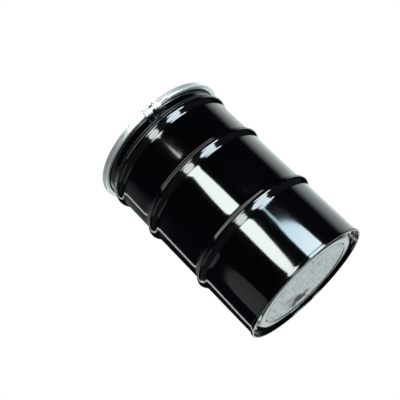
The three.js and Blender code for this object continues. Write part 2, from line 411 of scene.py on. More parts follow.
def arc(r, z, radius, start, end, steps):
    """Points on an arc, angles in degrees from outwards towards upwards."""
    angles = [math.radians(start + (end - start) * i / steps) for i in range(steps + 1)]
    return [Vector((r + radius * math.cos(a), z + radius * math.sin(a))) for a in angles]


def filled_in(points, longest):
    """The same line with extra points, so that no step is longer than that."""
    line = [points[0]]
    for a, b in zip(points, points[1:]):
        parts = max(1, math.ceil((b - a).length / longest))
        line += [a.lerp(b, k / parts) for k in range(1, parts + 1)]
    return line


def sheet_faces(line, thickness):
    """Both faces of a bent sheet, from its centre line."""
    left, right = [], []
    for i, point in enumerate(line):
        before = (point - line[i - 1]).normalized() if i else (line[1] - point).normalized()
        after = (line[i + 1] - point).normalized() if i < len(line) - 1 else before
        normal = Vector((-(before + after).y, (before + after).x)).normalized()
        stretch = 1 / max(0.4, normal.dot(Vector((-before.y, before.x))))
        left.append(point + normal * thickness / 2 * stretch)
        right.append(point - normal * thickness / 2 * stretch)
    return left, right


def edged(line, thickness, at):
    """Points that take a little off the corners of a sheet's cut edge, at the line's start or end."""
    a, b = (line[0], line[1]) if at == "start" else (line[-1], line[-2])
    inward = (b - a).normalized() * thickness * 0.25
    side = Vector((-inward.y, inward.x)).normalized() * thickness / 2
    return [a + inward + side, a + side * 0.5, a - side * 0.5, a + inward - side]


def hoop_outline(line, thickness):
    """The closed outline of a sheet bent into a hoop, with eased cut edges."""
    left, right = sheet_faces(line, thickness)
    first = edged(line, thickness, "start")
    last = edged(line, thickness, "end")
    return first[::-1] + left[1:-1] + last[::-1] + right[-2:0:-1]


def disc_outline(line, thickness):
    """The outline of a disc of sheet whose line runs from its edge to the axis."""
    left, right = sheet_faces(line, thickness)
    first = edged(line, thickness, "start")
    right[-1].x = left[-1].x = 0
    return right[:0:-1] + first[::-1] + left[1:]


# ---- Meshes ----------------------------------------------------------------------------------


def full_turn(count=SEGMENTS, extra=()):
    """Evenly spaced angles round a circle, with any extra ones put in."""
    return sorted([2 * math.pi * i / count for i in range(count)] + list(extra))


def turned(outline, angles=None, closed=True, whole=True):
    """A mesh from an outline turned about Z. An outline may be a function of the angle."""
    angles = angles or full_turn()
    made = bmesh.new()
    rings = []
    for a in angles:
        points = outline(a) if callable(outline) else outline
        rings.append([made.verts.new((p[0] * math.cos(a), p[0] * math.sin(a), p[1])) for p in points])
    pairs = list(zip(rings, rings[1:] + rings[:1]))
    if not whole:
        pairs = pairs[:-1]
    count = len(rings[0])
    for one, two in pairs:
        for i in range(count if closed else count - 1):
            j = (i + 1) % count
            made.faces.new((one[i], one[j], two[j], two[i]))
    if not whole:
        made.faces.new(rings[0])
        made.faces.new(rings[-1][::-1])
    bmesh.ops.remove_doubles(made, verts=made.verts, dist=TINY)
    bmesh.ops.dissolve_degenerate(made, edges=made.edges, dist=TINY)
    bmesh.ops.recalc_face_normals(made, faces=made.faces)
    return made


def block(corners, low, high, bevel):
    """A bevelled block: corners in the radius and height plane, drawn out along Y."""
    made = bmesh.new()
    verts = [made.verts.new((r, low, z)) for r, z in corners]
    face = made.faces.new(verts)
    drawn = bmesh.ops.extrude_face_region(made, geom=[face])["geom"]
    moved = [v for v in drawn if isinstance(v, bmesh.types.BMVert)]
    bmesh.ops.translate(made, verts=moved, vec=(0, high - low, 0))
    bmesh.ops.recalc_face_normals(made, faces=made.faces)
    bmesh.ops.bevel(made, geom=made.edges[:], offset=bevel, segments=3, profile=0.5, affect="EDGES")
    bmesh.ops.recalc_face_normals(made, faces=made.faces)
    return made


def weld_bead(path, radius, ripple=1.6 * MM):
    """A rippled bead of weld along a line of points."""
    sides = 10
    line = filled_in([Vector(p) for p in path], ripple / 4)
    made = bmesh.new()
    rings = []
    for i, point in enumerate(line):
        along = (line[min(i + 1, len(line) - 1)] - line[max(i - 1, 0)]).normalized()
        across = along.cross(Vector((0.3, 0.2, 0.9))).normalized()
        up = along.cross(across)
        run = i * ripple / 4
        ends = min(1.0, 0.35 + min(i, len(line) - 1 - i) * 0.22)
        size = radius * ends * (0.9 + 0.1 * math.sin(2 * math.pi * run / ripple))
        ring = []
        for k in range(sides):
            a = 2 * math.pi * k / sides
            ring.append(made.verts.new(point + (across * math.cos(a) + up * math.sin(a)) * size))
        rings.append(ring)
    for one, two in zip(rings, rings[1:]):
        for k in range(sides):
            m = (k + 1) % sides
            made.faces.new((one[k], one[m], two[m], two[k]))
    made.faces.new(rings[0])
    made.faces.new(rings[-1][::-1])
    bmesh.ops.recalc_face_normals(made, faces=made.faces)
    return made


def joined(*parts):
    """One mesh from several."""
    made = bmesh.new()
    for part in parts:
        copy = bpy.data.meshes.new("part")
        part.to_mesh(copy)
        part.free()
        made.from_mesh(copy)
        bpy.data.meshes.remove(copy)
    return made


def moved(made, matrix):
    bmesh.ops.transform(made, matrix=matrix, verts=made.verts)
    return made


def shaped(made, cutters, operation):
    """made with each cutter taken off or joined on as a solid."""
    solid = loose_object("shaped", made)
    tools = [loose_object("tool", cutter) for cutter in cutters]
    for tool in tools:
        modifier = solid.modifiers.new("shape", "BOOLEAN")
        modifier.operation = operation
        modifier.solver = "EXACT"
        modifier.object = tool
    bpy.context.view_layer.update()
    ready = solid.evaluated_get(bpy.context.evaluated_depsgraph_get())
    result = bmesh.new()
    result.from_mesh(ready.to_mesh())
    ready.to_mesh_clear()
    for done in [solid, *tools]:
        mesh = done.data
        bpy.data.objects.remove(done)
        bpy.data.meshes.remove(mesh)
    return result


def loose_object(name, made):
    mesh = bpy.data.meshes.new(name)
    made.to_mesh(mesh)
    made.free()
    loose = bpy.data.objects.new(name, mesh)
    bpy.context.scene.collection.objects.link(loose)
    return loose


def keep(name, made, materials, body, node):
    """Turns a mesh into a finished piece that stands for a CAD node and rides on its body."""
    piece = loose_object(name, made)
    for material in materials:
        piece.data.materials.append(material)
    piece.data.shade_smooth()
    piece.data.set_sharp_from_angle(angle=SHARP_ANGLE)
    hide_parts(node)
    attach(piece, body)
    return piece


def finish(name):
    """The material of this name, made once and shared."""
    found = bpy.data.materials.get(name)
    if found:
        return found
    colours = bpy.context.scene.drum_colours
    sizes = bpy.context.scene.drum_sizes
    makers = {
        "gloss_enamel": lambda: gloss_enamel(colours, sizes),
        "inside_steel": lambda: inside_steel(colours),
        "bottom_finish": lambda: bottom_finish(colours, sizes),
        "zinc_plate": lambda: zinc_plate(colours),
        "gasket_rubber": lambda: gasket_rubber(colours),
        "seam_filler": lambda: seam_filler(colours),
    }
    return makers[name]()


# ---- Body and bottom -------------------------------------------------------------------------

SEAM_AZIMUTH = math.radians(112)
WELD_HALF_ANGLE = 0.0095
CURL = {"r": 6 * MM, "z": 874 * MM, "end": -115}
SEAM_HOOK = {"r": 289.4 * MM, "top": 12 * MM, "fold": 2.1 * MM}
STRAIGHT_FROM = 20 * MM  # height where the wall starts above the seam
INSIDE_REACH = 305 * MM  # no inner face of the body lies further out

# The wall's unevenness between these heights: each wave's height, turns round the drum, rate up
# the wall and start.
WANDER_LOW, WANDER_HIGH = 25 * MM, 850 * MM
WANDER_FADE = (60 * MM, 40 * MM)  # how it dies out at the foot and at the top
WAVES = ((1, 3, 9, 0.6), (0.7, 5, -14, 2.1), (0.5, 2, 27, 4.0), (0.35, 11, 17, 1.2))
WELD_HEIGHT = 0.45 * MM  # of the side seam
WELD_RIPPLE = 4 * MM


def hoop(sizes, height, steps=22):
    """One rolled swell in the wall: a raised cosine."""
    line = []
    for k in range(steps + 1):
        s = 2 * k / steps - 1
        out = sizes.hoop_height * (0.5 + 0.5 * math.cos(math.pi * s))
        line.append(Vector((sizes.body_radius + out, height + s * sizes.hoop_half)))
    return line


def body_line(sizes):
    """Centre line of the body: seam hook, wall with its hoops, and the curl at the top."""
    r = sizes.body_radius
    foot = rounded(
        [
            (SEAM_HOOK["r"], SEAM_HOOK["top"], 0),
            (SEAM_HOOK["r"], SEAM_HOOK["fold"], 0.8 * MM),
            (r, SEAM_HOOK["fold"], 0.8 * MM),
            (r, STRAIGHT_FROM, 0),
        ],
        4,
    )
    wall = [p for z in (sizes.lower_hoop, sizes.upper_hoop, sizes.top_bead) for p in hoop(sizes, z)]
    curl = arc(r + CURL["r"], CURL["z"], CURL["r"], 180, CURL["end"], 30)
    return foot + filled_in([foot[-1], *wall, curl[0]], 18 * MM)[1:-1] + curl


def wall_wander(sizes, z, angle):
    """How far the rolled wall strays outwards: long shallow waves, and the welded side seam."""
    rise, drop = z - WANDER_LOW, WANDER_HIGH - z
    fade = max(0.0, min(1.0, rise / WANDER_FADE[0], drop / WANDER_FADE[1]))
    waves = sum(size * math.sin(turns * angle + rate * z + start) for size, turns, rate, start in WAVES)
    off = abs(math.remainder(angle - SEAM_AZIMUTH, 2 * math.pi)) / WELD_HALF_ANGLE
    ripple = 0.9 + 0.1 * math.sin(2 * math.pi * z / WELD_RIPPLE)
    weld = WELD_HEIGHT * max(0.0, 1 - off**4) * ripple if rise > 0 and drop > 0 else 0.0
    return sizes.wander / 2 * fade * waves + weld


class DRUM_OT_body(bpy.types.Operator):
    """Rolled body with two rolling hoops, a top bead, a welded side seam and a curled edge"""

    bl_idname = "drum.body"
    bl_label = "Body"

    def execute(self, context):
        sizes = context.scene.drum_sizes
        outline = hoop_outline(body_line(sizes), sizes.sheet)
        near_seam = [SEAM_AZIMUTH + WELD_HALF_ANGLE * k / 4 for k in range(-5, 6)]

        def wandered(angle):
            return [Vector((p.x + wall_wander(sizes, p.y, angle), p.y)) for p in outline]

        made = turned(wandered, full_turn(extra=near_seam))
        for face in made.faces:
            spot = face.calc_center_median()
            radius = math.hypot(spot.x, spot.y)
            inward = face.normal.x * spot.x + face.normal.y * spot.y < 0
            inside = inward and radius < INSIDE_REACH and STRAIGHT_FROM < spot.z < CURL["z"]
            face.material_index = int(inside)
        finishes = [finish("gloss_enamel"), finish("inside_steel")]
        keep("body_sheet", made, finishes, "drum", "body_shell")
        return {"FINISHED"}


# Heights of the chime's folded sheet in mm. From its inner fold the bottom's centre line goes on
# inwards, by radius, height and bend: the wall, the trough, the step and the panel.
CHIME_TOP, CHIME_FOOT = 13, 0.6
BOTTOM_LINE = (
    (284.9, 0.6, 1.5), (284.9, 20.6, 5), (257, 19.6, 6), (245, 10.2, 9), (239, 8.0, 5),
    (216, 7.2, 5), (210, 10.4, 2.2), (205, 8.8, 4), (0, 8.8, 0),
)
DISH_RADIUS = 200 * MM  # the panel inside it is slightly dished
DISH_DEPTH = 0.3 * MM
DISH_CENTRE = 50 * MM  # where its waves die out towards the axis


class DRUM_OT_bottom(bpy.types.Operator):
    """Bottom with its seamed chime, recessed trough, step and panel"""

    bl_idname = "drum.bottom"
    bl_label = "Bottom"

    def execute(self, context):
        sizes = context.scene.drum_sizes
        outer = sizes.chime_radius - sizes.sheet / 2
        chime = [
            (287.6 * MM, CHIME_TOP * MM, 0),
            (outer, CHIME_TOP * MM, 1.1 * MM),
            (outer, CHIME_FOOT * MM, 1.5 * MM),
        ]
        line = rounded(chime + [tuple(v * MM for v in corner) for corner in BOTTOM_LINE])
        outline = disc_outline(filled_in(line, 12 * MM), sizes.sheet)

        def dished(angle):
            points = []
            for p in outline:
                inside = max(0.0, 1 - p.x / DISH_RADIUS) ** 0.5
                wave = math.sin(2 * angle + 31 * p.x) + 0.6 * math.sin(3 * angle - 47 * p.x + 1.7)
                dish = inside * DISH_DEPTH * wave * min(1, p.x / DISH_CENTRE)
                points.append(Vector((p.x, p.y + dish)))
            return points

        made = turned(dished, closed=False)
        keep("bottom_pressing", made, [finish("bottom_finish")], "drum", "bottom_head")
        return {"FINISHED"}


class DRUM_OT_seam_filling(bpy.types.Operator):
    """Sealing compound folded into the bottom seam"""

    bl_idname = "drum.seam_filling"
    bl_label = "Seam filling"

    def execute(self, context):
        sizes = context.scene.drum_sizes
        low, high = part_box("bottom_seam_compound")
        inner = sizes.body_radius + sizes.sheet / 2 + 0.3 * MM
        outline = rounded_ring(inner, high.x, low.z, high.z, 0.4 * MM)
        made, node = turned(outline), "bottom_seam_compound"
        keep("seam_filling", made, [finish("seam_filler")], "drum", node)
        return {"FINISHED"}


def rounded_ring(inner, outer, low, high, bend, steps=4):
    """The outline of a ring of rectangular section with rounded corners."""
    centre = (inner + outer) / 2
    line = [
        (centre, low, 0),
        (outer, low, bend),
        (outer, high, bend),
        (inner, high, bend),
        (inner, low, bend),
        (centre, low, 0),
    ]
    return rounded(line, steps)[:-1]


# ---- Lid and closing ring --------------------------------------------------------------------

# Radii and heights of each bung's flange and plug, in mm; only the pitch is in metres.
BUNGS = {
    "large": {
        "bore": 29.6, "neck": 34.2, "lip": 36.6, "base": 43, "tail": 861.5, "head": 36,
        "cup": 22, "cup_floor": 866.5, "cup_wall": 25.5, "ear": (9, 12), "pitch": LARGE_PITCH,
    },
    "small": {
        "bore": 13.4, "neck": 17, "lip": 19.2, "base": 25, "tail": 862.5, "head": 18.6,
        "cup": 9.2, "cup_floor": 869, "cup_wall": 11.2, "ear": (3.6, 5), "pitch": SMALL_PITCH,
    },
}

# Centre line of the lid's sheet in mm, inwards from its edge: radius, height and bend of the
# channel over the curl, the trough and the raised panel.
LID_LINE = (
    (301.6, 877, 0), (301.6, 886.2, 3.4), (284.8, 886.2, 3.4), (284.8, 865, 5),
    (262, 865, 6), (254, 872, 6), (0, 872, 0),
)
LID_UNDER = 863 * MM  # faces of the lid below this are its bare underside
HOLE_CLEARANCE = 0.3  # mm round a bung's neck
HOLE_LOW, HOLE_HIGH = 850 * MM, 890 * MM
BUNG_SIDES = 72


def bung_place(size):
    """Where a bung's axis stands, from its CAD plug."""
    spot = middle(f"{size}_bung_plug")
    return Matrix.Translation((spot.x, spot.y, 0))


class DRUM_OT_lid(bpy.types.Operator):
    """Lid with its channel over the curl, trough, raised panel and two bung holes"""

    bl_idname = "drum.lid"
    bl_label = "Lid"

    def execute(self, context):
        sizes = context.scene.drum_sizes
        line = rounded([tuple(v * MM for v in corner) for corner in LID_LINE])
        outline = disc_outline(filled_in(line, 25 * MM), sizes.sheet)
        made = turned(outline, closed=False)
        cutters = []
        for size, bung in BUNGS.items():
            r = (bung["neck"] + HOLE_CLEARANCE) * MM
            hole = [(0, HOLE_LOW), (r, HOLE_LOW), (r, HOLE_HIGH), (0, HOLE_HIGH)]
            cutters.append(moved(turned(hole, full_turn(BUNG_SIDES), closed=False), bung_place(size)))
        made = shaped(made, cutters, "DIFFERENCE")
        for face in made.faces:
            under = face.normal.z < -0.2 or face.calc_center_median().z < LID_UNDER
            face.material_index = int(under)
        finishes = [finish("gloss_enamel"), finish("inside_steel")]
        keep("lid_pressing", made, finishes, "lid", "cover")
        return {"FINISHED"}


class DRUM_OT_lid_gasket(bpy.types.Operator):
    """Rubber gasket in the lid's channel"""

    bl_idname = "drum.lid_gasket"
    bl_label = "Lid gasket"

    def execute(self, context):
        low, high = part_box("cover_gasket")
        half = Vector((5.3 * MM, (high.z - low.z) / 2))
        centre = Vector((high.x - 5.5 * MM, (low.z + high.z) / 2))
        circle = arc(0, 0, 1, 0, 360, 24)[:-1]
        made = turned([centre + Vector((p.x * half.x, p.y * half.y)) for p in circle])
        keep("lid_gasket", made, [finish("gasket_rubber")], "lid", "cover_gasket")
        return {"FINISHED"}


RING = {"wall": 305.8 * MM, "bottom": 864.4 * MM, "lip": 291 * MM, "bend": 3.9 * MM}
SPLIT_HALF = 12 * MM


class DRUM_OT_closing_ring(bpy.types.Operator):
    """Split closing ring, a channel section clamped round lid and body"""

    bl_idname = "drum.closing_ring"
    bl_label = "Closing ring"

    def execute(self, context):
        sizes = context.scene.drum_sizes
        top = TOP_HEIGHT - sizes.ring_sheet / 2
        line = rounded(
            [
                (RING["lip"], top, 0),
                (RING["wall"], top, RING["bend"]),
                (RING["wall"], RING["bottom"], RING["bend"]),
                (RING["lip"], RING["bottom"], 0),
            ],
            8,
        )
        outline = hoop_outline(filled_in(line, 6 * MM), sizes.ring_sheet)
        half = SPLIT_HALF / RING["wall"]
        sweep = 2 * math.pi - 2 * half
        angles = [SPLIT_AZIMUTH + half + sweep * i / SEGMENTS for i in range(SEGMENTS + 1)]
        made = turned(outline, angles, whole=False)
        keep("ring_band", made, [finish("zinc_plate")], "ring", "closing_ring")
        return {"FINISHED"}


# ---- Lugs, bolt and lock nut, drawn at the +X side with the bolt along Y -----------------------

AT_SPLIT = Matrix.Rotation(SPLIT_AZIMUTH, 4, "Z")

# In mm, unless they say otherwise. near, far, head_face, head_end, low and high run along the bolt.
LUG = {"inner": 307.2, "outer": 329, "bottom": 846, "top": 887, "near": 11.5, "far": 34}
BOLT = {"r": 7.9, "axis_r": 318, "axis_z": 861, "head": 23.8, "head_face": -34.3, "head_end": -44.3}
BOLT_END = 74
THREAD = {"start": -8 * MM, "depth": 0.95 * MM, "chamfer": 1.6 * MM}
ROUND_SIDES = 48  # round the bolt's shank and the lugs' holes
LUG_HOLES = {"plain": 9.0, "threaded": 8.2}
LUG_CHAMFER = 5 * MM
LUG_BEVEL = 1.9 * MM
BEAD = 1.9 * MM  # radius of a lug's welds
LUG_WELDS = {
    "upright": {"out": 0.3 * MM, "low": 867 * MM, "high": 885 * MM},
    "under": {"out": 0.2 * MM, "near": 14 * MM, "far": 32 * MM, "z": 864.3 * MM},
}
NUT = {"across": 23.8, "low": 2.0, "high": 11.2}
HEX_SIDES = 96


def along_bolt():
    """Takes a shape turned about Z to the bolt's line."""
    place = Matrix.Translation((BOLT["axis_r"] * MM, 0, BOLT["axis_z"] * MM))
    return AT_SPLIT @ place @ Matrix.Rotation(-math.pi / 2, 4, "X")


def hex_radius(across, angle):
    """How far a hexagon's side is from its middle, in that direction."""
    turn = math.remainder(angle, math.pi / 3)
    return across / 2 / math.cos(turn)


def hex_outline(across, low, high, bore=None):
    """A hexagon with its corners taken off at 30 degrees at both ends, solid or bored."""
    tops = 0.93 * across / 2
    ease = 0.7  # taken off the edges of a bore
    if bore:
        under = [(bore, low + ease), (bore + ease, low)]
        over = [(bore + ease, high), (bore, high - ease)]
    else:
        under, over = [(0, low)], [(0, high)]

    def outline(angle):
        r = hex_radius(across, angle)
        drop = (r - tops) * math.tan(math.radians(30))
        side = [(tops, low), (r, low + drop), (r, high - drop), (tops, high)]
        return [Vector(p) * MM for p in under + side + over]

    return outline


def thread_shift(z, angle, pitch, depth, low, high):
    """How deep a screw thread cuts at that place, running out smoothly at both ends."""
    run = max(0.0, min(1.0, (z - low) / pitch, (high - z) / pitch))
    phase = math.remainder(z / pitch - angle / (2 * math.pi), 1.0)
    return depth * run * (1 - 2 * abs(phase))


class DRUM_OT_lugs(bpy.types.Operator):
    """Forged plain lug and threaded lug, welded to the ends of the ring"""

    bl_idname = "drum.lugs"
    bl_label = "Ring lugs"

    def execute(self, context):
        i, o, b, t = (LUG[k] * MM for k in ("inner", "outer", "bottom", "top"))
        c = LUG_CHAMFER
        corners = [
            (i, b + c), (i + c, b), (o - c, b), (o, b + c), (o, t - 3 * c), (i + 8 * MM, t), (i, t),
        ]
        for kind, side in (("plain", -1), ("threaded", 1)):
            near, far = sorted((side * LUG["near"] * MM, side * LUG["far"] * MM))
            forged = moved(block(corners, near, far, LUG_BEVEL), AT_SPLIT)
            hole = LUG_HOLES[kind] * MM
            bore = [(0, near - MM), (hole, near - MM), (hole, far + MM), (0, far + MM)]
            cutter = moved(turned(bore, full_turn(ROUND_SIDES), closed=False), along_bolt())
            lug = shaped(forged, [cutter], "DIFFERENCE")
            weld = LUG_WELDS["upright"]
            upright = [(i + weld["out"], side * LUG["far"] * MM, weld[end]) for end in ("low", "high")]
            weld = LUG_WELDS["under"]
            under = [(i + weld["out"], side * weld[end], weld["z"]) for end in ("near", "far")]
            beads = [moved(weld_bead(path, BEAD), AT_SPLIT) for path in (upright, under)]
            piece = f"lug_{kind}"
            keep(piece, joined(lug, *beads), [finish("zinc_plate")], "ring", f"{kind}_lug")
        return {"FINISHED"}


class DRUM_OT_ring_bolt(bpy.types.Operator):
    """Hex-headed bolt that draws the ring's ends together, with its rolled thread"""

    bl_idname = "drum.ring_bolt"
    bl_label = "Ring bolt"

    def execute(self, context):
        head = hex_outline(BOLT["head"], BOLT["head_end"], BOLT["head_face"])
        start, depth, chamfer = THREAD["start"], THREAD["depth"], THREAD["chamfer"]
        face, end = BOLT["head_face"] * MM, BOLT_END * MM
        rows = int((end - chamfer - start) / (BOLT_PITCH / 10))

        def shank(angle):
            r = BOLT["r"] * MM
            points = [(0, face - MM), (r + 0.6 * MM, face - MM), (r + 0.6 * MM, face + 0.1 * MM)]
            points += [(r, face + 0.8 * MM), (r, start)]
            for k in range(1, rows + 1):
                z = start + (end - chamfer - start) * k / rows
                cut = thread_shift(z, angle, BOLT_PITCH, depth, start, end)
                points.append((r - cut, z))
            points += [(r - chamfer, end), (0, end)]
            return [Vector(p) for p in points]

        made = joined(
            turned(head, full_turn(HEX_SIDES), closed=False),
            turned(shank, full_turn(ROUND_SIDES), closed=False),
        )
        made = moved(made, along_bolt())
        keep("bolt_forging", made, [finish("zinc_plate")], "bolt", "ring_bolt")
        return {"FINISHED"}


class DRUM_OT_lock_nut(bpy.types.Operator):
    """Lock nut on the bolt, against the threaded lug"""

    bl_idname = "drum.lock_nut"
    bl_label = "Lock nut"

    def execute(self, context):
        outline = hex_outline(NUT["across"], NUT["low"], NUT["high"], bore=LUG_HOLES["threaded"])
        made = moved(turned(outline, full_turn(HEX_SIDES)), along_bolt())
        keep("nut_locking", made, [finish("zinc_plate")], "lock_nut", "lock_nut")
        return {"FINISHED"}


# ---- Bungs -----------------------------------------------------------------------------------

# Heights in mm that both bungs share.
FLANGE = {"base_low": 866.8, "base_high": 869.6, "lip_low": 873, "lip_high": 875.2, "top": 876.3}
PLUG_HEAD = {"low": 878.6, "high": 881.6}


class DRUM_OT_bung_flanges(bpy.types.Operator):
    """Threaded flanges for the large and small bungs, each on an eight-sided base under the lid"""

    bl_idname = "drum.bung_flanges"
    bl_label = "Bung flanges"

    def execute(self, context):
        for size, bung in BUNGS.items():
            made = moved(turned(self.outline(bung), full_turn(BUNG_SIDES * 2)), bung_place(size))
            node = f"{size}_bung_flange"
            keep(f"flange_{size}", made, [finish("zinc_plate")], "lid", node)
        return {"FINISHED"}

    def outline(self, bung):
        bore, neck, lip, tail = bung["bore"], bung["neck"], bung["lip"], bung["tail"]
        pitch = bung["pitch"] / MM
        low, high = tail + 1, FLANGE["top"] - 1
        rows = int((high - low) / (pitch / 8))

        def section(angle):
            turn = math.remainder(angle, math.pi / 4)
            base = bung["base"] * math.cos(math.pi / 8) / math.cos(turn)
            outside = [
                (bore + 0.6, tail, 0), (neck - 1, tail, 0.5), (neck, FLANGE["base_low"], 1.2),
                (base, FLANGE["base_low"], 0.6), (base, FLANGE["base_high"], 0.6),
                (neck, FLANGE["base_high"], 0.3), (neck, FLANGE["lip_low"], 0.3),
                (lip, FLANGE["lip_low"], 0.8), (lip, FLANGE["lip_high"], 0.8),
                (neck, FLANGE["top"], 0.8), (bore + 0.6, FLANGE["top"], 0),
            ]
            points = rounded(outside, 3)
            for k in range(rows + 1):
                z = high - (high - low) * k / rows
                cut = thread_shift(z, angle, pitch, 1.0, low, high)
                points.append(Vector((bore + cut, z)))
            return [p * MM for p in points]

        return section


class DRUM_OT_bung_gaskets(bpy.types.Operator):
    """Gaskets under the lid at each flange, and under each plug's head"""

    bl_idname = "drum.bung_gaskets"
    bl_label = "Bung gaskets"

    def execute(self, context):
        for size, bung in BUNGS.items():
            neck, lip, bore = (bung[k] * MM for k in ("neck", "lip", "bore"))
            under_low, under_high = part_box(f"{size}_flange_gasket")
            head_low, head_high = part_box(f"{size}_plug_gasket")
            rings = [
                ("flange", "lid", neck + 0.3 * MM, (bung["base"] - 4) * MM, under_low.z, under_high.z),
                ("plug", f"{size}_plug_seal", bore, lip - 2 * MM, head_low.z, head_high.z),
            ]
            for kind, body, inner, outer, low, high in rings:
                outline = rounded_ring(inner, outer, low, high, (high - low) * 0.4)
                made = moved(turned(outline, full_turn(BUNG_SIDES)), bung_place(size))
                name, node = f"{kind}_washer_{size}", f"{size}_{kind}_gasket"
                keep(name, made, [finish("gasket_rubber")], body, node)
        return {"FINISHED"}


class DRUM_OT_bung_plugs(bpy.types.Operator):
    """Threaded plugs with a rim, a deep cup and two ears for the bung wrench"""

    bl_idname = "drum.bung_plugs"
    bl_label = "Bung plugs"

    def execute(self, context):
        for size, bung in BUNGS.items():
            cup = turned(self.outline(bung), full_turn(BUNG_SIDES * 2), closed=False)
            made = moved(shaped(cup, self.ears(bung), "UNION"), bung_place(size))
            node = f"{size}_bung_plug"
            keep(f"plug_{size}", made, [finish("zinc_plate")], f"{size}_plug", node)
        return {"FINISHED"}

    def outline(self, bung):
        thread, head, tail = bung["bore"] - 0.3, bung["head"], bung["tail"]
        pitch = bung["pitch"] / MM
        floor, wall = bung["cup_floor"], bung["cup_wall"]
        low, high = tail + 4, PLUG_HEAD["low"]
        rows = int((high - low) / (pitch / 8))

        def section(angle):
            points = rounded([(0, floor - 2.4, 0), (wall - 1, floor - 2.4, 0.8), (thread - 0.8, low, 0)], 3)
            for k in range(rows + 1):
                z = low + (high - low) * k / rows
                cut = thread_shift(z, angle, pitch, 0.9, low, high - 1)
                points.append(Vector((thread - cut, z)))
            points += rounded(
                [
                    (thread, PLUG_HEAD["low"], 0), (head, PLUG_HEAD["low"], 0.5),
                    (head, PLUG_HEAD["high"], 1.3), (bung["cup"], PLUG_HEAD["high"], 1.0),
                    (bung["cup"] - 0.4, floor, 1.5), (0, floor, 0),
                ],
                4,
            )[1:]
            return [p * MM for p in points]

        return section

    def ears(self, bung):
        along, across = (v * MM for v in bung["ear"])
        floor, top = (bung["cup_floor"] - 0.8) * MM, (PLUG_HEAD["high"] - 3) * MM
        reach = (bung["cup"] + 1) * MM
        ears = []
        for side in (1, -1):
            near, far = side * (reach - along), side * reach
            corners = [(near, floor), (far, floor), (far, top), (near, top)]
            ears.append(block(corners, -across / 2, across / 2, 0.7 * MM))
        return ears


# ---- Stage -----------------------------------------------------------------------------------

CAMERA = {
    "place": (1.8029, -2.9178, -0.6972),
    "aim": (-0.0287, -0.0648, 0.5505),
    "lens": 79.72,
    "sensor": 36,
}
CAMERA_ROLL = math.radians(45.27)
FLOOR_RADIUS = 7.0
FLOOR_FADE = (1.0, 3.4)  # the floor melts into the white surroundings between these radii
FLOOR_DROP = 0.3 * MM  # under the chime, so the two never share a plane

WHITE, COOL, SKY = (0.915, 1, 0.98), (0.80, 0.94, 1), (0.60, 0.82, 0.97)
BOX_DISTANCE = 3.1

# Soft boxes, each standing at its azimuth and facing the axis. across and tall are its edges in
# metres, corner the power of its rounded outline, lean how far its top is drawn sideways, slant
# how its top and bottom edges slope, and top a colour for its upper edge.
SOFT_BOXES = {
    "key": dict(
        azimuth=-56.5, across=(-0.61, 0.61), tall=(0.6, 1.84), corner=2.3, lean=0.33, radiance=23,
        colour=WHITE,
    ),
    "glint": dict(
        azimuth=-55, across=(-0.13, 0.13), tall=(1.83, 1.98), corner=2, radiance=8, colour=WHITE,
    ),
    "key_low": dict(
        azimuth=-57.5, across=(-0.6, 0.6), tall=(-7.5, 0.15), corner=2, radiance=16, colour=WHITE,
    ),
    "cool": dict(
        azimuth=-12.5, across=(-0.84, 0.84), tall=(-0.25, 0.93), corner=7, slant=-0.07, radiance=22,
        colour=COOL, top=SKY,
    ),
    "cool_edge": dict(
        azimuth=-22.3, distance=3.2, across=(-0.13, 0.13), tall=(0.75, 1.2), corner=2.2,
        radiance=12, colour=SKY,
    ),
    "cool_low": dict(
        azimuth=-12.5, across=(-0.95, 0.95), tall=(-7.5, -0.26), corner=2, radiance=19, colour=COOL,
    ),
    "strip": dict(
        azimuth=170.5, across=(-0.14, 0.14), tall=(-0.6, 2.2), corner=6, lean=0.45, radiance=3,
        colour=WHITE,
    ),
    "flag": dict(
        azimuth=-136, across=(-1.03, 1.03), tall=(-0.5, 1.0), corner=7, radiance=0.5, colour=WHITE,
    ),
    "back": dict(
        azimuth=163, distance=3.4, across=(-0.3, 0.3), tall=(-2.2, -0.1), corner=4, radiance=6,
        colour=WHITE,
    ),
}

TOP_LAMP = dict(place=Vector((0, 0, 3.2)), width=2.4, radiance=2.2)

# Fill lamps light matt surfaces only: each one's azimuth and radiance.
FILL_LAMPS = {"front": (-58, 0.2), "right": (32, 4.2), "back": (122, 2.0), "left": (-148, 4.2)}
FILL_DISTANCE, FILL_HEIGHT, FILL_WIDTH = 3.2, 0.2, 3
AIM_HEIGHT = 0.45

# The studio that glossy surfaces mirror, and what matt ones and the camera get instead.
DARKNESS = 0.006
BACKDROP = 1.47
GLOW = 0.22
BELOW, SWEEP = 0.08, 1.7
MATT_LIGHT = 0.9
SEEN_LIGHT = 1.0
STUDIO_TINT = (0.90, 1, 1, 1)


